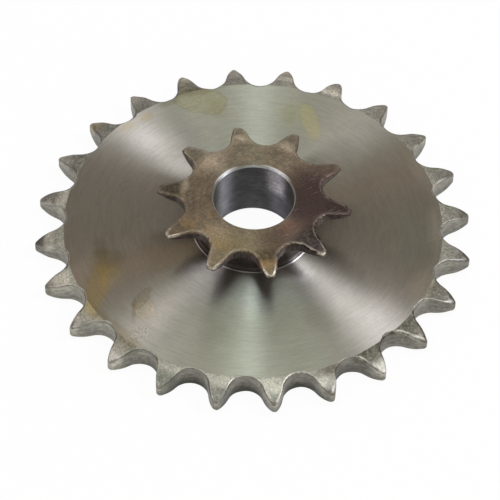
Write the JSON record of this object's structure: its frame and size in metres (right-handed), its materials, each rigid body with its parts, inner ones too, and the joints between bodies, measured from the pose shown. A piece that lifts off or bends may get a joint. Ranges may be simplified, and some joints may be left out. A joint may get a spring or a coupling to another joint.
{
  "type": "double chain sprocket",
  "caption": "Stepped chain sprocket: a large toothed plate wheel and a small one on a common plain-bored hub, in one piece of machined steel.",
  "frame": {"origin": "centre of the bore in the plane of the large wheel's back face, on which the part rests", "axes": "+Z along the bore from the large wheel to the small wheel, +X through the middle of a gap between two large teeth and of a small tooth"},
  "size_m": [0.1024, 0.1024, 0.0159],
  "materials": {
    "steel": "turned bare steel with a light brown oxide on the small wheel"
  },
  "bodies": {
    "root": {"double_sprocket": "steel"}
  },
  "joints": []
}
